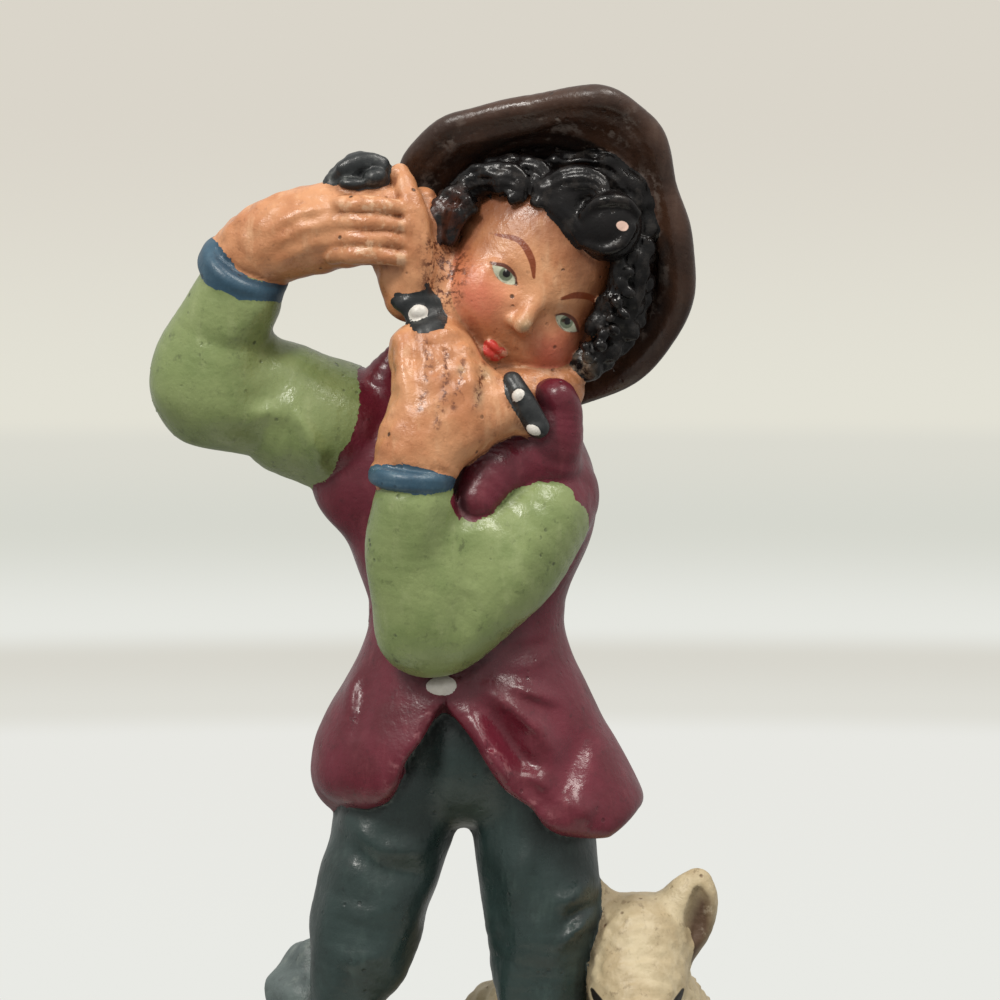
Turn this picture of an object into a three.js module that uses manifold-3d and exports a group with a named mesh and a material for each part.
// A young shepherd playing a flute, with a dog and a rock on an oval base: a painted papier-mache
// crib figurine. Millimetres, +Z up. The origin is the centre of the underside of the base. The
// shepherd faces -Y, with the right side of the body towards -X. Pressed pieces are glued to one
// another over a wire armature, and every glue joint has the same thickness.
import * as THREE from "three";
import { mergeVertices } from "three/addons/utils/BufferGeometryUtils.js";
import Module from "manifold-3d";

const wasm = await Module();
wasm.setup();

const { degToRad, lerp, smoothstep } = THREE.MathUtils;
const at = (x, y, z) => new THREE.Vector3(x, y, z);

// Joints and stock
const GLUE_GAP = 0.3;
const WIRE_RADIUS = 0.7;
const VEST_WALL = 1.8;
const SKIRT_WALL = 2;

// Ground
const BASE_LENGTH = 64;
const BASE_DEPTH = 42;
const BASE_HEIGHT = 7;
const BASE_EDGE = 1.6;
const BASE_WOBBLE = 0.035;
const SOLE_SINK = 0.7;
const ROCK_PLACE = at(-21.4, 7.6, 0);
const ROCK_HEIGHT = 40.5;
const ROCK_HALF_WIDTH = 7.4;

// Trunk and vest, from the ground up
const TRUNK_X = -3.5;
const CROTCH_RISE = 55;
const SEAT_HEIGHT = 20.5;
const TRUNK_LENGTH = 19.5;
const HIP_HALF_WIDTH = 13;
const HIP_HALF_DEPTH = 8;
const WAIST_HALF_WIDTH = 10;
const WAIST_HALF_DEPTH = 7.8;
const CHEST_HALF_WIDTH = 13.2;
const CHEST_HALF_DEPTH = 8.8;
const SKIRT_LENGTH = 21;
const SKIRT_SHIFT = 1.6;
const HEM_HALF_WIDTH = 18.1;
const HEM_HALF_DEPTH = 12.8;
const RIGHT_PANEL_LIFT = 2.5;
const SPLIT_WIDTH = 17;
const SPLIT_DROP = 7.1;
const SPLIT_SHIFT = -1.7;
const COLLAR_RADIUS = 8.6;
const COLLAR_HEIGHT = 5;
const COLLAR_WALL = 2.2;
const COLLAR_TILT = at(0.32, -0.12, 1);
const BUTTON_RADIUS = 1.3;

// Legs
const RIGHT_FOOT_X = -17;
const LEFT_FOOT_X = 5;
const FOOT_Y = 1;
const ANKLE_HEIGHT = 7;
const KNEE_SHARE = 0.47;
const RIGHT_KNEE_BEND = at(-3.4, -1.9, 0);
const LEFT_KNEE_BEND = at(0.7, -1.1, 0);
const HIP_RADIUS = 7.9;
const THIGH_RADIUS = 6.1;
const KNEE_RADIUS = 4.3;
const CALF_RADIUS = 4.2;
const ANKLE_RADIUS = 3.1;
const SHOE_LENGTH = 12;
const SHOE_TURN_OUT = 1.4;
const SHOE_HALF_WIDTH = 3.8;
const SHOE_HALF_HEIGHT = 3;

// Arms, each stretch as a step from the joint before it
const RIGHT_UPPER_ARM = at(-15.4, -3.8, 2.8);
const RIGHT_FOREARM = at(2.5, -3.2, 13.4);
const RIGHT_HAND = at(8.8, -2, 4.6);
const LEFT_UPPER_ARM = at(-12, -7.4, -13);
const LEFT_FOREARM = at(-1.1, -3.4, 15.8);
const LEFT_HAND = at(2.5, -0.9, 7.6);
const UPPER_SLEEVE_RADIUS = 6.2;
const ELBOW_RADIUS = 6.1;
const SLEEVE_END_RADIUS = 4.7;
const CUFF_RADIUS = 5.1;
const CUFF_HEIGHT = 2.7;
const CUFF_EDGE = 0.6;
const WRIST_RADIUS = 3.7;
const PALM_THICKNESS = 6;
const FINGER_RADIUS = 1.3;
const FINGER_LENGTH = 6.1;
const THUMB_RADIUS = 1.6;

// Head, leaning to the shepherd's left, hair and hat
const NECK_FOOT_STEP = at(1.5, 1.4, 0);
const NECK_TO_HEAD = at(5.4, -2.2, 18.8);
const NECK_RADIUS = 4.2;
const HEAD_LEAN_DEG = 38;
const HEAD_NOD_DEG = 6;
const HEAD_HALF_WIDTH = 9.9;
const HEAD_HALF_DEPTH = 10.4;
const HEAD_HALF_HEIGHT = 11.9;
const JAW_HALF_WIDTH = 6.9;
const NOSE_RADIUS = 1.3;
const HAIR_THICKNESS = 1.7;
const CURL_RADIUS = 2.6;
const FORELOCK_RADIUS = 3.6;
const HEAD_TO_HAT = at(1.7, 0.4, 2.8);
const HAT_AXIS = at(0.15, 0.95, 0.28).normalize();
const BRIM_RADIUS = 17;
const BRIM_DROP = 3.2;
const BRIM_THICKNESS = 2;
// The lobes of the brim's outline: how many, how deep as a share of the radius, turned how far.
const BRIM_LOBES = [
  [2, 0.062, degToRad(13)],
  [3, 0.02, degToRad(180)],
  [4, 0.041, degToRad(128)],
];
const BRIM_WAVE = 0.4;
const CROWN_RADIUS = 12.6;
const CROWN_HEIGHT = 16;

// Flute: the barrel lies in the right hand, and the head joint shows under the mouth
const BARREL_PLACE = at(3, 3.6, 6.5);
const BARREL_REACH = at(8.3, -7.9, -17.5);
const BARREL_RADIUS = 1.9;
const BARREL_FLARE = 1;
const HEAD_JOINT_PLACE = at(7.3, 1.7, 3.2);
const HEAD_JOINT_REACH = at(4, 0.6, -6.8);
const HEAD_JOINT_RADIUS = 1.6;
const STUD_RADIUS = 0.75;

// Dog, standing behind the left leg with its head turned to the front
const DOG_PLACE = at(17.6, 8.6, 28.5);
const DOG_BACK = at(-13, 2.6, 1.5);
const DOG_NECK = at(-2.2, -9.2, 11.7);
const DOG_FACE = at(-0.5, -9.6, -7.4);
const DOG_RUMP_RADIUS = 7.4;
const DOG_CHEST_RADIUS = 7.8;
const DOG_SKULL_RADIUS = 6.4;
const DOG_MUZZLE_RADIUS = 2.7;
const DOG_NOSE_RADIUS = 1.2;
const DOG_EAR_LENGTH = 6.4;
const DOG_EAR_RADIUS = 2.6;
const DOG_LEG_RADIUS = 2.5;
const DOG_PAW_RADIUS = 2;
const DOG_TAIL_RADIUS = 2;

// Fineness of the curved surfaces
const TRUNK_SIDES = 20;
const LIMB_SIDES = 12;
const SMALL_SIDES = 8;
const THIN_SIDES = 6;
const DOME_RINGS = 2;
const WELD = 0.002;
const FAR = 200;

// Paints
const paint = (color, roughness = 0.42) =>
  new THREE.MeshStandardMaterial({ color, roughness, metalness: 0 });
const SKIN = paint("#d59a6c");
const BURGUNDY = paint("#6b2035");
const SLEEVE_GREEN = paint("#86985a");
const CUFF_BLUE = paint("#2e5871");
const TROUSER_TEAL = paint("#2b3a3a");
const HAT_BROWN = paint("#38231b");
const HAIR_BLACK = paint("#171417", 0.35);
const FLUTE_BLACK = paint("#23262a");
const DOT_WHITE = paint("#dcd8cc");
const SHOE_BROWN = paint("#4a2c1c");
const GROUND_OLIVE = paint("#5f6138", 0.6);
const ROCK_GREY = paint("#626b63", 0.6);
const DOG_CREAM = paint("#d5c19c", 0.55);
const BARE_PAPER = paint("#b9a98c", 0.9);
const WIRE_STEEL = new THREE.MeshStandardMaterial({ color: "#8d9094", roughness: 0.4, metalness: 1 });

// Solids

function solidOf(geometry) {
  const plain = new THREE.BufferGeometry();
  plain.setAttribute("position", geometry.getAttribute("position"));
  plain.setIndex(geometry.index);
  const merged = mergeVertices(plain);
  const corners = merged.index.array;
  const kept = [];
  for (let i = 0; i < corners.length; i += 3) {
    const [a, b, c] = corners.subarray(i, i + 3);
    if (a !== b && b !== c && c !== a) kept.push(a, b, c);
  }
  const vertProperties = merged.getAttribute("position").array;
  const triVerts = new Uint32Array(kept);
  return new wasm.Manifold(new wasm.Mesh({ numProp: 3, vertProperties, triVerts }));
}

// The solid's surface, with its points welded on a fine grid so that no cut leaves a sliver.
function geometryOf(solid) {
  const { vertProperties, triVerts } = solid.getMesh();
  const welded = Float32Array.from(vertProperties, (value) => Math.round(value / WELD) * WELD);
  const geometry = new THREE.BufferGeometry();
  geometry.setAttribute("position", new THREE.BufferAttribute(welded, 3));
  geometry.setIndex(new THREE.BufferAttribute(new Uint32Array(triVerts), 1));
  return geometry;
}

const largest = (solid) => solid.decompose().reduce((a, b) => (a.volume() > b.volume() ? a : b));

// A form is a function that makes a solid, grown outwards by a given gap.
const join = (...forms) => (gap = 0) => forms.map((form) => form(gap)).reduce((a, b) => a.add(b));
const within = (form, region) => (gap = 0) => form(gap).intersect(region(gap));
const without = (form, hollow) => (gap = 0) => form(gap).subtract(hollow(-gap));

// Shapes

// A limb that swells and tapers along a smooth curve. Each station is [place, half width, half depth].
// The half width is measured along broad. The two ends go from 0, flat, to 1, round.
function limb(stations, { sides = LIMB_SIDES, steps = 2, broad = at(1, 0, 0), ends = [1, 1] } = {}) {
  const curve = new THREE.CatmullRomCurve3(stations.map(([place]) => place));
  const spans = stations.length - 1;
  const sizeAt = (t, column) => {
    const span = Math.min(Math.floor(t * spans), spans - 1);
    const [here, next] = [stations[span], stations[span + 1]].map((station) => station[column] ?? station[1]);
    return lerp(here, next, smoothstep(t * spans - span, 0, 1));
  };
  return (gap = 0) => {
    const geometry = new THREE.CapsuleGeometry(1, 1, DOME_RINGS, sides, spans * steps);
    const position = geometry.getAttribute("position");
    for (let i = 0; i < position.count; i++) {
      const t = THREE.MathUtils.clamp(position.getY(i) + 0.5, 0, 1);
      const beyond = position.getY(i) + 0.5 - t;
      const along = curve.getTangent(t);
      const across = broad.clone().addScaledVector(along, -broad.dot(along)).normalize();
      const through = along.clone().cross(across);
      const width = sizeAt(t, 1) + gap;
      const depth = sizeAt(t, 2) + gap;
      const dome = ends[beyond > 0 ? 1 : 0] * Math.min(width, depth) + gap;
      const place = curve.getPoint(t).addScaledVector(along, beyond * dome);
      place.addScaledVector(across, position.getX(i) * width);
      place.addScaledVector(through, -position.getZ(i) * depth);
      position.setXYZ(i, ...place);
    }
    return solidOf(geometry);
  };
}

// An ellipsoid with its half sizes along the axes of a frame.
function ball(frame, half, sides = LIMB_SIDES) {
  return (gap = 0) => {
    const geometry = new THREE.SphereGeometry(1, sides, Math.round(sides * 0.6));
    geometry.scale(...half.map((size) => size + gap));
    return solidOf(geometry.applyMatrix4(frame));
  };
}

// A solid turned about a frame's +Y axis. The outline holds [radius, height] pairs, anticlockwise from
// the lowest. reach spreads a point from the axis, and lift raises it, by its angle and radius.
function turned(frame, outline, { sides = TRUNK_SIDES, closed = false, reach = () => 1, lift = () => 0 } = {}) {
  const last = outline.length - 1;
  return (gap = 0) => {
    const points = outline.map(([radius, height], i) => {
      const before = outline[i - 1] ?? outline[closed ? last : i];
      const after = outline[i + 1] ?? outline[closed ? 0 : i];
      const run = new THREE.Vector2(after[0] - before[0], after[1] - before[1]).normalize();
      return new THREE.Vector2(radius && radius + run.y * gap, height - run.x * gap);
    });
    const geometry = new THREE.LatheGeometry(closed ? [...points, points[0]] : points, sides);
    const position = geometry.getAttribute("position");
    for (let i = 0; i < position.count; i++) {
      const [x, y, z] = [position.getX(i), position.getY(i), position.getZ(i)];
      const polar = [Math.atan2(x, z), Math.hypot(x, z)];
      position.setXYZ(i, x * reach(...polar), y + lift(...polar), z * reach(...polar));
    }
    return solidOf(geometry.applyMatrix4(frame));
  };
}

// Everything on one side of a plane: the points whose coordinate along an axis is over a level.
function halfSpace(axis, level) {
  return (gap = 0) => {
    const box = new THREE.BoxGeometry(2 * FAR, 2 * FAR, 2 * FAR).translate(0, FAR + level - gap, 0);
    return solidOf(box.applyMatrix4(aimed(at(0, 0, 0), axis)));
  };
}

// Frames and places

const upright = (place) => new THREE.Matrix4().makeTranslation(place);
const between = (a, b, share) => a.clone().lerp(b, share);
const step = (from, ...moves) => moves.reduce((place, move) => place.add(move), from.clone());
const above = (place) => step(place, at(0, 0, BASE_HEIGHT));

// A frame at a place, with its +Y axis along a direction.
function aimed(place, direction) {
  const turn = new THREE.Quaternion().setFromUnitVectors(at(0, 1, 0), direction.clone().normalize());
  return new THREE.Matrix4().compose(place, turn, at(1, 1, 1));
}

// The joints of the body

const crotchZ = BASE_HEIGHT + CROTCH_RISE;
const waistZ = crotchZ + SEAT_HEIGHT;
const trunkPoint = (z) => at(TRUNK_X, 0, z);
const trunkTop = trunkPoint(waistZ + TRUNK_LENGTH);
const hipShift = HIP_HALF_WIDTH - HIP_RADIUS + 0.8;
const rightHip = step(trunkPoint(crotchZ), at(-hipShift, 0.5, 4));
const leftHip = step(trunkPoint(crotchZ), at(hipShift, 0.5, 4));
const rightAnkle = above(at(RIGHT_FOOT_X, FOOT_Y, ANKLE_HEIGHT));
const leftAnkle = above(at(LEFT_FOOT_X, FOOT_Y, ANKLE_HEIGHT));
const rightKnee = step(between(rightHip, rightAnkle, KNEE_SHARE), RIGHT_KNEE_BEND);
const leftKnee = step(between(leftHip, leftAnkle, KNEE_SHARE), LEFT_KNEE_BEND);
const rightShoulder = step(trunkTop, at(-CHEST_HALF_WIDTH + 2.2, 1, 1.6));
const rightElbow = step(rightShoulder, RIGHT_UPPER_ARM);
const rightWrist = step(rightElbow, RIGHT_FOREARM);
const rightPalm = step(rightWrist, RIGHT_HAND);
const leftShoulder = step(trunkTop, at(CHEST_HALF_WIDTH - 5.7, 5.4 - CHEST_HALF_DEPTH, -6.4));
const leftElbow = step(leftShoulder, LEFT_UPPER_ARM);
const leftWrist = step(leftElbow, LEFT_FOREARM);
const leftPalm = step(leftWrist, LEFT_HAND);
const neckFoot = step(trunkTop, NECK_FOOT_STEP);
const head = step(neckFoot, NECK_TO_HEAD);
const hat = step(head, HEAD_TO_HAT);

// Ground

// The oval base, flat below, with a rounded top edge and an uneven outline.
function groundForm(gap = 0) {
  const half = BASE_LENGTH / 2;
  const outline = [
    [0, 0],
    [half - BASE_EDGE, 0],
    [half, BASE_EDGE],
    [half, BASE_HEIGHT - 2 * BASE_EDGE + gap],
    [half - BASE_EDGE, BASE_HEIGHT - BASE_EDGE / 2 + gap],
    [half - 3 * BASE_EDGE, BASE_HEIGHT + gap],
    [0, BASE_HEIGHT + gap],
  ];
  const points = outline.map(([radius, height]) => new THREE.Vector2(radius && radius + gap, height));
  const geometry = new THREE.LatheGeometry(points, 2 * TRUNK_SIDES - 8).rotateX(Math.PI / 2);
  const position = geometry.getAttribute("position");
  for (let i = 0; i < position.count; i++) {
    const [x, y] = [position.getX(i), position.getY(i)];
    const angle = Math.atan2(y, x);
    const wobble = 1 + BASE_WOBBLE * (Math.sin(3 * angle) + 0.6 * Math.cos(5 * angle));
    position.setXY(i, x * wobble, (y * wobble * BASE_DEPTH) / BASE_LENGTH);
  }
  return solidOf(geometry);
}

const rockFoot = above(ROCK_PLACE);
const rockStation = (share, size) => [
  step(rockFoot, at(0, 0, ROCK_HEIGHT * share)),
  ROCK_HALF_WIDTH * size,
  ROCK_HALF_WIDTH * size + 0.4,
];
const rockForm = limb(
  [rockStation(0, 1), rockStation(0.35, 0.95), rockStation(0.68, 0.74), rockStation(0.9, 0.45)],
  { ends: [0, 1] },
);

// Trunk, vest and trouser seat

const trunkStation = (share, halfWidth, halfDepth) => [
  between(trunkPoint(waistZ), trunkTop, share),
  halfWidth,
  halfDepth,
];
const trunkStations = (wall) => [
  trunkStation(0, WAIST_HALF_WIDTH - wall, WAIST_HALF_DEPTH - wall),
  trunkStation(0.2, WAIST_HALF_WIDTH + 0.8 - wall, WAIST_HALF_DEPTH + 0.4 - wall),
  trunkStation(0.7, CHEST_HALF_WIDTH - wall, CHEST_HALF_DEPTH - wall),
  trunkStation(1, CHEST_HALF_WIDTH - 1 - wall, CHEST_HALF_DEPTH - 1.2 - wall),
];
const trunkForm = limb(trunkStations(0), { sides: TRUNK_SIDES, ends: [0, 0.62] });
const coreForm = limb(trunkStations(VEST_WALL + GLUE_GAP), { ends: [0, 0.5] });
const vestFront = within(trunkForm, halfSpace(at(0, -1, 0), GLUE_GAP / 2));
const vestBack = within(trunkForm, halfSpace(at(0, 1, 0), GLUE_GAP / 2));

const seatTop = waistZ - GLUE_GAP;
const seatForm = limb(
  [
    [trunkPoint(crotchZ + 4.4), HIP_HALF_WIDTH, HIP_HALF_DEPTH - 0.4],
    [trunkPoint((crotchZ + waistZ) / 2), HIP_HALF_WIDTH - 1, HIP_HALF_DEPTH],
    [trunkPoint(seatTop), WAIST_HALF_WIDTH - SKIRT_WALL - GLUE_GAP, WAIST_HALF_DEPTH - SKIRT_WALL - GLUE_GAP],
  ],
  { sides: TRUNK_SIDES, ends: [0.55, 0] },
);

// The flared skirt of the vest hangs from the waist in two panels, split at the front.
const hemZ = waistZ - SKIRT_LENGTH;
const skirtStations = (wall, reach) =>
  [-reach, 0.13, 0.3, 0.5, 0.72, 1 + reach].map((share) => {
    const flare = Math.sin((Math.PI / 2) * THREE.MathUtils.clamp(share, 0, 1)) ** 1.1;
    return [
      at(TRUNK_X + SKIRT_SHIFT * share ** 3, 0, lerp(seatTop, hemZ, share)),
      lerp(WAIST_HALF_WIDTH, HEM_HALF_WIDTH, flare) - wall,
      lerp(WAIST_HALF_DEPTH, HEM_HALF_DEPTH, flare) - wall,
    ];
  });
const skirtOuter = limb(skirtStations(0, 0), { sides: TRUNK_SIDES, ends: [0, 0] });
const skirtHollow = limb(skirtStations(SKIRT_WALL, 0.05), { sides: TRUNK_SIDES, ends: [0, 0] });
const splitTop = step(trunkPoint(waistZ), at(SPLIT_SHIFT, 0, -SPLIT_DROP));

function frontSplit() {
  const drop = splitTop.z - hemZ + BASE_HEIGHT;
  const spread = (SPLIT_WIDTH / 2) * (drop / (splitTop.z - hemZ));
  const shape = new THREE.Shape([
    new THREE.Vector2(0, 0),
    new THREE.Vector2(-spread, -drop),
    new THREE.Vector2(spread, -drop),
  ]);
  const geometry = new THREE.ExtrudeGeometry(shape, { depth: FAR, bevelEnabled: false });
  return solidOf(geometry.rotateX(Math.PI / 2).translate(...splitTop));
}
const skirtShell = without(without(skirtOuter, skirtHollow), frontSplit);
const rightPanel = within(
  within(skirtShell, halfSpace(at(-1, 0, 0), GLUE_GAP / 2 - TRUNK_X)),
  halfSpace(at(0, 0, 1), hemZ + RIGHT_PANEL_LIFT),
);
const leftPanel = within(skirtShell, halfSpace(at(1, 0, 0), GLUE_GAP / 2 + TRUNK_X));
const buttonForm = ball(
  upright(step(splitTop, at(-0.9, -WAIST_HALF_DEPTH - 2.3, 1.4))),
  [1.3 * BUTTON_RADIUS, 0.7 * BUTTON_RADIUS, BUTTON_RADIUS],
  SMALL_SIDES,
);
const collarForm = turned(
  aimed(step(trunkTop, at(3.1, 0.3, 0.6)), COLLAR_TILT),
  [
    [COLLAR_RADIUS - COLLAR_WALL, 0],
    [COLLAR_RADIUS, 0],
    [COLLAR_RADIUS + 0.5, COLLAR_HEIGHT * 0.6],
    [COLLAR_RADIUS, COLLAR_HEIGHT],
    [COLLAR_RADIUS - 0.8 * COLLAR_WALL, COLLAR_HEIGHT],
  ],
  { closed: true },
);

// Legs and shoes

const legForm = (hip, knee, ankle) =>
  limb([
    [hip, HIP_RADIUS],
    [between(hip, knee, 0.55), THIGH_RADIUS],
    [knee, KNEE_RADIUS],
    [between(knee, ankle, 0.4), CALF_RADIUS],
    [ankle, ANKLE_RADIUS],
  ]);

function shoeForm(ankle, turnOut) {
  const heel = at(ankle.x, ankle.y + 2.4, BASE_HEIGHT - SOLE_SINK);
  const station = (share, narrow, low) => [
    step(heel, at(turnOut * share, -SHOE_LENGTH * share, SHOE_HALF_HEIGHT - low)),
    SHOE_HALF_WIDTH - narrow,
    SHOE_HALF_HEIGHT - low,
  ];
  return limb([station(0, 0.5, 0), station(0.6, 0, 0.3), station(1, 0.6, 0.7)]);
}

// Arms and hands

const upperSleeve = (shoulder, elbow) =>
  limb([
    [shoulder, UPPER_SLEEVE_RADIUS],
    [between(shoulder, elbow, 0.5), UPPER_SLEEVE_RADIUS],
    [elbow, ELBOW_RADIUS],
  ]);

const lowerSleeve = (elbow, wrist) =>
  limb(
    [
      [elbow, ELBOW_RADIUS],
      [between(elbow, wrist, 0.5), (ELBOW_RADIUS + SLEEVE_END_RADIUS) / 2],
      [wrist, SLEEVE_END_RADIUS],
    ],
    { ends: [1, 0] },
  );

function cuffForm(wrist, direction) {
  const half = CUFF_HEIGHT / 2;
  const outline = [
    [0, -half],
    [CUFF_RADIUS - CUFF_EDGE, -half],
    [CUFF_RADIUS, CUFF_EDGE - half],
    [CUFF_RADIUS, half - CUFF_EDGE],
    [CUFF_RADIUS - CUFF_EDGE, half],
    [0, half],
  ];
  return turned(aimed(wrist, direction), outline, { sides: LIMB_SIDES });
}

const digit = (radius, ...places) =>
  limb(
    places.map((place) => [place, radius]),
    { sides: THIN_SIDES, steps: 1 },
  );

// The right hand lies level, with its four fingers stacked over the flute and its thumb upright.
function rightHandForm() {
  const knuckles = step(rightPalm, at(3.4, -0.7, 0));
  const halfPalm = PALM_THICKNESS / 2;
  const palm = limb(
    [
      [between(rightWrist, rightPalm, -0.12), WRIST_RADIUS],
      [between(rightWrist, rightPalm, 0.45), WRIST_RADIUS + 0.2, WRIST_RADIUS],
      [rightPalm, 3.3 * FINGER_RADIUS, halfPalm],
      [knuckles, 3.1 * FINGER_RADIUS, halfPalm - 0.6],
    ],
    { broad: at(0, 0, 1) },
  );
  const fingers = [2.2, 0.72, -0.76, -2.2].map((row, i) => {
    const start = step(knuckles, at(0, -0.4, row * FINGER_RADIUS));
    const bend = step(start, at(FINGER_LENGTH * 0.53, -0.9 - 0.15 * i, 0));
    return digit(FINGER_RADIUS, start, bend, step(start, at(FINGER_LENGTH - 0.3 * i, 0.4, -0.1)));
  });
  const thumbRoot = step(knuckles, at(5.6, 1.6, -4));
  const thumbTip = step(knuckles, at(5, 2.4, 6.4));
  const thumbBend = step(between(thumbRoot, thumbTip, 0.5), at(0.3, 0, 0));
  return join(palm, ...fingers, digit(THUMB_RADIUS, thumbRoot, thumbBend, thumbTip));
}

// The left hand stands in front of the chin, with its fingers pointing up.
function leftHandForm() {
  const halfPalm = PALM_THICKNESS / 2;
  const palm = limb([
    [between(leftWrist, leftPalm, -0.2), WRIST_RADIUS + 0.3, WRIST_RADIUS],
    [between(leftWrist, leftPalm, 0.45), 3.9 * FINGER_RADIUS, halfPalm + 0.4],
    [leftPalm, 4.4 * FINGER_RADIUS, halfPalm - 0.1],
  ]);
  const fingers = [-3.15, -1.15, 0.85, 2.75].map((row, i) => {
    const start = step(leftPalm, at(row * FINGER_RADIUS, 0, 0.8));
    const bend = step(start, at(0.1, -0.8, FINGER_LENGTH * 0.53));
    return digit(FINGER_RADIUS, start, bend, step(start, at(0.2, 0.6, FINGER_LENGTH - 0.5 * i)));
  });
  const thumbRoot = step(between(leftWrist, leftPalm, 0.5), at(3, 0, 0));
  const thumbBend = step(thumbRoot, at(3.6, 0.6, 0.2));
  const thumbTip = step(thumbRoot, at(6.2, 1.6, 0.4));
  return join(palm, ...fingers, digit(THUMB_RADIUS, thumbRoot, thumbBend, thumbTip));
}

// Head, hair and hat

// The head's own frame: +X to the shepherd's left, -Y out of the face, +Z to the top of the head.
const lean = new THREE.Quaternion().setFromAxisAngle(at(0, 1, 0), degToRad(HEAD_LEAN_DEG));
const nod = new THREE.Quaternion().setFromAxisAngle(at(1, 0, 0), degToRad(HEAD_NOD_DEG));
const headFrame = new THREE.Matrix4().compose(head, lean.multiply(nod), at(1, 1, 1));
const headBall = (place, half, sides) => ball(headFrame.clone().multiply(upright(place)), half, sides);

const headHalf = [HEAD_HALF_WIDTH, HEAD_HALF_DEPTH, HEAD_HALF_HEIGHT];
const headForm = join(
  headBall(at(0, 0, 0), headHalf, TRUNK_SIDES - 4),
  headBall(at(0, -2.4, 6.7 - HEAD_HALF_HEIGHT), [JAW_HALF_WIDTH, JAW_HALF_WIDTH, JAW_HALF_WIDTH]),
  headBall(at(0, 0.1 - HEAD_HALF_DEPTH, -1.4), [NOSE_RADIUS, NOSE_RADIUS, 1.5 * NOSE_RADIUS], SMALL_SIDES),
);
const neckForm = limb([
  [neckFoot, NECK_RADIUS + 0.3],
  [between(neckFoot, head, 0.7), NECK_RADIUS],
]);

const curlHalf = [CURL_RADIUS - 0.3, CURL_RADIUS, CURL_RADIUS + 0.5];
const curl = (x, y, z) => headBall(at(x, y, z), curlHalf, SMALL_SIDES);
const hairMass = join(
  headBall(at(0, 0.8, 0.4), headHalf.map((half) => half + HAIR_THICKNESS), TRUNK_SIDES - 4),
  curl(0.3 - HEAD_HALF_WIDTH, -3.6, 2.2),
  curl(HEAD_HALF_WIDTH - 0.2, -3.4, 1.2),
  curl(HEAD_HALF_WIDTH - 0.4, -2.8, -4.6),
);
const faceOpening = headBall(
  at(0, -HEAD_HALF_DEPTH, 0.2 - JAW_HALF_WIDTH * 0.4),
  [HEAD_HALF_WIDTH - 1.1, HEAD_HALF_DEPTH - 2.2, HEAD_HALF_HEIGHT - 1.5],
  LIMB_SIDES + 2,
);
const hairForm = without(hairMass, faceOpening);
const forelockPlace = step(head, at(7.6, 1.7 - HEAD_HALF_DEPTH, 5.4));
const forelockHalf = [FORELOCK_RADIUS + 0.6, FORELOCK_RADIUS - 1, FORELOCK_RADIUS];
const forelockForm = ball(upright(forelockPlace), forelockHalf);

const hatFrame = aimed(hat, HAT_AXIS);
const crownForm = turned(hatFrame, [
  [0, 0],
  [CROWN_RADIUS, 0],
  [CROWN_RADIUS - 0.2, 0.34 * CROWN_HEIGHT],
  [0.8 * CROWN_RADIUS, 0.74 * CROWN_HEIGHT],
  [0.45 * CROWN_RADIUS, 0.95 * CROWN_HEIGHT],
  [0, CROWN_HEIGHT],
]);
const rim = BRIM_RADIUS - BRIM_THICKNESS / 2;
const brimShare = (radius) => smoothstep(radius, CROWN_RADIUS, rim);
const brimForm = turned(
  hatFrame,
  [
    [CROWN_RADIUS - BRIM_THICKNESS, -GLUE_GAP],
    [CROWN_RADIUS - 0.9 * BRIM_THICKNESS, -0.35 * BRIM_DROP],
    [CROWN_RADIUS + 0.1 * BRIM_THICKNESS, -0.85 * BRIM_DROP],
    [rim - BRIM_THICKNESS, -BRIM_DROP - 0.3 * BRIM_THICKNESS],
    [rim, -BRIM_DROP - 0.6 * BRIM_THICKNESS],
    [BRIM_RADIUS, -BRIM_DROP],
    [rim, -BRIM_DROP + 0.6 * BRIM_THICKNESS],
    [CROWN_RADIUS + 0.8 * BRIM_THICKNESS, -0.3 * BRIM_DROP],
    [CROWN_RADIUS, -GLUE_GAP],
  ],
  {
    sides: TRUNK_SIDES + 12,
    closed: true,
    reach: (angle, radius) =>
      BRIM_LOBES.reduce(
        (reach, [count, depth, turn]) => reach + depth * brimShare(radius) * Math.cos(count * angle - turn),
        1,
      ),
    lift: (angle, radius) => BRIM_WAVE * brimShare(radius) * Math.sin(3 * angle + 0.6),
  },
);

// Flute

const barrelFoot = step(rightPalm, BARREL_PLACE);
const barrelEnd = step(barrelFoot, BARREL_REACH);
const barrelForm = limb(
  [
    [barrelFoot, BARREL_RADIUS + BARREL_FLARE],
    [between(barrelFoot, barrelEnd, 0.12), BARREL_RADIUS + 0.3 * BARREL_FLARE],
    [between(barrelFoot, barrelEnd, 0.4), BARREL_RADIUS],
    [barrelEnd, BARREL_RADIUS],
  ],
  { ends: [0.6, 0.3] },
);
const headJointLip = step(leftPalm, HEAD_JOINT_PLACE);
const headJointEnd = step(headJointLip, HEAD_JOINT_REACH);
const headJointForm = limb(
  [
    [headJointLip, HEAD_JOINT_RADIUS],
    [headJointEnd, HEAD_JOINT_RADIUS],
  ],
  { ends: [0.5, 0.5] },
);
const studOn = (from, to, share, radius) =>
  ball(
    upright(step(between(from, to, share), at(0, -radius - STUD_RADIUS / 5, 0))),
    [STUD_RADIUS, STUD_RADIUS, STUD_RADIUS],
    SMALL_SIDES,
  );

// Dog

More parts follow.
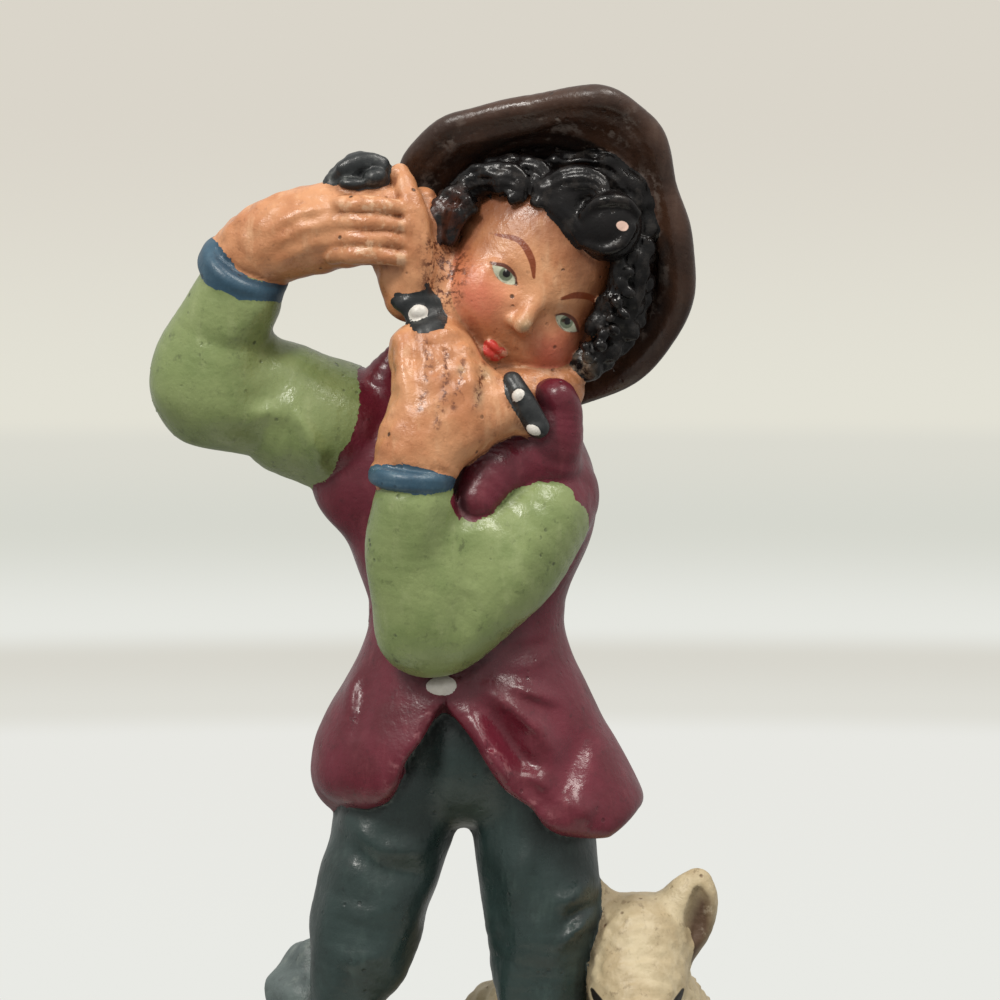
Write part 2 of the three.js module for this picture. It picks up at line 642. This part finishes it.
const dogChest = above(DOG_PLACE);
const dogRump = step(dogChest, DOG_BACK);
const dogSkull = step(dogChest, DOG_NECK);
const dogMuzzle = step(dogSkull, DOG_FACE);
const dogBodyForm = join(
  limb(
    [
      [dogRump, DOG_RUMP_RADIUS - 1, DOG_RUMP_RADIUS],
      [step(between(dogRump, dogChest, 0.5), at(0, 0, 0.4)), DOG_RUMP_RADIUS - 1.2, DOG_RUMP_RADIUS - 0.6],
      [dogChest, DOG_CHEST_RADIUS - 1.2, DOG_CHEST_RADIUS],
    ],
    { broad: at(0, 1, 0) },
  ),
  limb([
    [dogChest, DOG_CHEST_RADIUS - 1.4],
    [between(dogChest, dogSkull, 0.75), DOG_SKULL_RADIUS - 0.8],
  ]),
);
const dogHeadForm = join(
  ball(upright(dogSkull), [DOG_SKULL_RADIUS, DOG_SKULL_RADIUS, DOG_SKULL_RADIUS + 0.4]),
  limb([
    [between(dogSkull, dogMuzzle, 0.3), DOG_SKULL_RADIUS - 1.2],
    [between(dogSkull, dogMuzzle, 0.7), DOG_MUZZLE_RADIUS + 0.9],
    [dogMuzzle, DOG_MUZZLE_RADIUS],
  ]),
);
const dogNoseForm = ball(
  upright(step(dogMuzzle, at(0, 0.3 - DOG_MUZZLE_RADIUS, 0.9))),
  [1.1 * DOG_NOSE_RADIUS, 0.8 * DOG_NOSE_RADIUS, 0.9 * DOG_NOSE_RADIUS],
  SMALL_SIDES,
);

function dogEar(side) {
  const root = step(dogSkull, at(side * 0.66 * DOG_SKULL_RADIUS, 0.8, DOG_SKULL_RADIUS / 2));
  const tip = step(root, at(side * 2.1, -0.6, DOG_EAR_LENGTH));
  return limb(
    [
      [root, DOG_EAR_RADIUS, 0.58 * DOG_EAR_RADIUS],
      [between(root, tip, 0.55), 0.8 * DOG_EAR_RADIUS, 0.42 * DOG_EAR_RADIUS],
      [tip, 0.38 * DOG_EAR_RADIUS, 0.3 * DOG_EAR_RADIUS],
    ],
    { sides: SMALL_SIDES + 2 },
  );
}

function dogLeg(top, bend, pawMove) {
  const paw = step(top, pawMove).setZ(BASE_HEIGHT - SOLE_SINK + DOG_PAW_RADIUS);
  return limb(
    [
      [top, DOG_LEG_RADIUS + 1],
      [step(between(top, paw, 0.5), bend), DOG_LEG_RADIUS],
      [paw, DOG_PAW_RADIUS],
    ],
    { sides: SMALL_SIDES + 2 },
  );
}
const dogFrontLeftLeg = dogLeg(step(dogChest, at(3.4, -2, -4.5)), at(0.1, -0.4, 0), at(0.2, -3.2, 0));
const dogFrontRightLeg = dogLeg(step(dogChest, at(-4.2, -3, -4.5)), at(0.1, -0.3, 0), at(1, -2.6, 0));
const dogHindLeftLeg = dogLeg(step(dogRump, at(2.4, 3.4, -6)), at(-1.2, 0.7, 0), at(-0.4, -0.2, 0));
const dogHindRightLeg = dogLeg(step(dogRump, at(-3.8, -1.2, -6)), at(-1.3, 0.5, 0), at(-0.6, -0.2, 0));
const dogTail = limb(
  [
    [step(dogRump, at(1.8 - DOG_RUMP_RADIUS, 1.6, 1.2)), DOG_TAIL_RADIUS],
    [step(dogRump, at(-1.8 - DOG_RUMP_RADIUS, 3, -3.4)), 0.85 * DOG_TAIL_RADIUS],
    [step(dogRump, at(-2.6 - DOG_RUMP_RADIUS, 3.6, -10.4)), 0.55 * DOG_TAIL_RADIUS],
  ],
  { sides: SMALL_SIDES },
);

// Wire armature

const wire = (...places) =>
  limb(
    places.map((place) => [place, WIRE_RADIUS]),
    { sides: THIN_SIDES, broad: at(0, 1, 0), ends: [0, 0] },
  );
const legWire = (hip, knee, ankle) =>
  wire(
    at(ankle.x, ankle.y, 0.4 * BASE_HEIGHT),
    ankle,
    between(knee, ankle, 0.45),
    knee,
    hip,
    at(lerp(hip.x, TRUNK_X, 0.35), 0, waistZ - 3),
    at(lerp(hip.x, TRUNK_X, 0.4), 0, waistZ + 0.34 * TRUNK_LENGTH),
  );
const armWire = (root, shoulder, elbow, wrist, palm) =>
  wire(
    root,
    shoulder,
    between(shoulder, elbow, 0.5),
    elbow,
    between(elbow, wrist, 0.5),
    wrist,
    between(wrist, palm, 0.7),
  );
const spineWire = wire(
  between(trunkPoint(waistZ), trunkTop, 0.13),
  step(between(trunkPoint(waistZ), trunkTop, 0.7), at(0, 0.4, 0)),
  neckFoot,
  between(neckFoot, head, 0.6),
  between(neckFoot, head, 0.95),
);
const rightArmWire = armWire(step(trunkTop, at(-4, 1, -2)), rightShoulder, rightElbow, rightWrist, rightPalm);
const leftArmWire = armWire(step(trunkTop, at(3, -2.6, -5)), leftShoulder, leftElbow, leftWrist, leftPalm);

// The assembly

const figurine = new THREE.Group();
const shepherd = new THREE.Group();
const dog = new THREE.Group();
const armature = new THREE.Group();
figurine.add(shepherd, dog, armature);

const placed = [];
const apart = (a, b) => [0, 1, 2].some((k) => a.max[k] < b.min[k] || b.max[k] < a.min[k]);

// Adds a piece as a mesh that has its own origin where it is joined on. It is cut clear, by a glue
// joint, of every piece that was placed before it.
function place(group, name, form, material, origin) {
  const whole = form();
  const near = placed.filter((grown) => !apart(grown.boundingBox(), whole.boundingBox()));
  const cut = largest(near.reduce((left, grown) => left.subtract(grown), whole));
  const geometry = geometryOf(largest(solidOf(geometryOf(cut))));
  geometry.translate(...origin.clone().negate());
  geometry.computeVertexNormals();
  const mesh = new THREE.Mesh(geometry, material);
  mesh.name = name;
  mesh.position.copy(origin);
  group.add(mesh);
  placed.push(form(GLUE_GAP));
}

place(armature, "right_leg_wire", legWire(rightHip, rightKnee, rightAnkle), WIRE_STEEL, rightAnkle);
place(armature, "left_leg_wire", legWire(leftHip, leftKnee, leftAnkle), WIRE_STEEL, leftAnkle);
place(armature, "spine_wire", spineWire, WIRE_STEEL, neckFoot);
place(armature, "right_arm_wire", rightArmWire, WIRE_STEEL, rightShoulder);
place(armature, "left_arm_wire", leftArmWire, WIRE_STEEL, leftShoulder);

place(shepherd, "right_shoe", shoeForm(rightAnkle, -SHOE_TURN_OUT), SHOE_BROWN, rightAnkle);
place(shepherd, "left_shoe", shoeForm(leftAnkle, SHOE_TURN_OUT), SHOE_BROWN, leftAnkle);
place(shepherd, "trouser_seat", seatForm, TROUSER_TEAL, trunkPoint(waistZ));
place(shepherd, "left_trouser_leg", legForm(leftHip, leftKnee, leftAnkle), TROUSER_TEAL, leftHip);
place(shepherd, "right_trouser_leg", legForm(rightHip, rightKnee, rightAnkle), TROUSER_TEAL, rightHip);
place(shepherd, "torso_core", coreForm, BARE_PAPER, trunkPoint(waistZ));
place(shepherd, "head", headForm, SKIN, head);
place(shepherd, "neck", neckForm, SKIN, neckFoot);
place(shepherd, "vest_front", vestFront, BURGUNDY, trunkPoint(waistZ));
place(shepherd, "vest_back", vestBack, BURGUNDY, trunkPoint(waistZ));
place(shepherd, "vest_skirt_right", rightPanel, BURGUNDY, trunkPoint(waistZ));
place(shepherd, "vest_skirt_left", leftPanel, BURGUNDY, trunkPoint(waistZ));
place(shepherd, "hair", hairForm, HAIR_BLACK, head);
place(shepherd, "forelock", forelockForm, HAIR_BLACK, forelockPlace);

place(shepherd, "flute_barrel", barrelForm, FLUTE_BLACK, barrelFoot);
place(shepherd, "flute_head_joint", headJointForm, FLUTE_BLACK, headJointLip);
const middleStud = studOn(barrelFoot, barrelEnd, 0.88, BARREL_RADIUS);
const lipStud = studOn(headJointLip, headJointEnd, 0.4, HEAD_JOINT_RADIUS);
const endStud = studOn(headJointLip, headJointEnd, 0.95, HEAD_JOINT_RADIUS);
place(shepherd, "flute_stud_middle", middleStud, DOT_WHITE, barrelEnd);
place(shepherd, "flute_stud_lip", lipStud, DOT_WHITE, headJointLip);
place(shepherd, "flute_stud_end", endStud, DOT_WHITE, headJointEnd);

place(shepherd, "right_hand", rightHandForm(), SKIN, rightWrist);
place(shepherd, "left_hand", leftHandForm(), SKIN, leftWrist);
place(shepherd, "right_cuff", cuffForm(rightWrist, at(0.5, -0.2, 0.86)), CUFF_BLUE, rightWrist);
place(shepherd, "left_cuff", cuffForm(leftWrist, at(0.06, -0.12, 1)), CUFF_BLUE, leftWrist);
place(shepherd, "right_upper_sleeve", upperSleeve(rightShoulder, rightElbow), SLEEVE_GREEN, rightShoulder);
place(shepherd, "left_upper_sleeve", upperSleeve(leftShoulder, leftElbow), SLEEVE_GREEN, leftShoulder);
place(shepherd, "right_lower_sleeve", lowerSleeve(rightElbow, rightWrist), SLEEVE_GREEN, rightElbow);
place(shepherd, "left_lower_sleeve", lowerSleeve(leftElbow, leftWrist), SLEEVE_GREEN, leftElbow);
place(shepherd, "waist_button", buttonForm, DOT_WHITE, splitTop);

place(shepherd, "hat_crown", crownForm, HAT_BROWN, hat);
place(shepherd, "hat_brim", brimForm, HAT_BROWN, hat);
place(shepherd, "vest_collar", collarForm, BURGUNDY, neckFoot);

place(dog, "dog_body", dogBodyForm, DOG_CREAM, dogChest);
place(dog, "dog_head", dogHeadForm, DOG_CREAM, dogSkull);
place(dog, "dog_left_ear", dogEar(1), DOG_CREAM, dogSkull);
place(dog, "dog_right_ear", dogEar(-1), DOG_CREAM, dogSkull);
place(dog, "dog_nose", dogNoseForm, HAIR_BLACK, dogMuzzle);
place(dog, "dog_front_left_leg", dogFrontLeftLeg, DOG_CREAM, dogChest);
place(dog, "dog_front_right_leg", dogFrontRightLeg, DOG_CREAM, dogChest);
place(dog, "dog_hind_left_leg", dogHindLeftLeg, DOG_CREAM, dogRump);
place(dog, "dog_hind_right_leg", dogHindRightLeg, DOG_CREAM, dogRump);
place(dog, "dog_tail", dogTail, DOG_CREAM, dogRump);

place(figurine, "base_plinth", groundForm, GROUND_OLIVE, at(0, 0, 0));
place(figurine, "rock", rockForm, ROCK_GREY, rockFoot);

export default figurine;
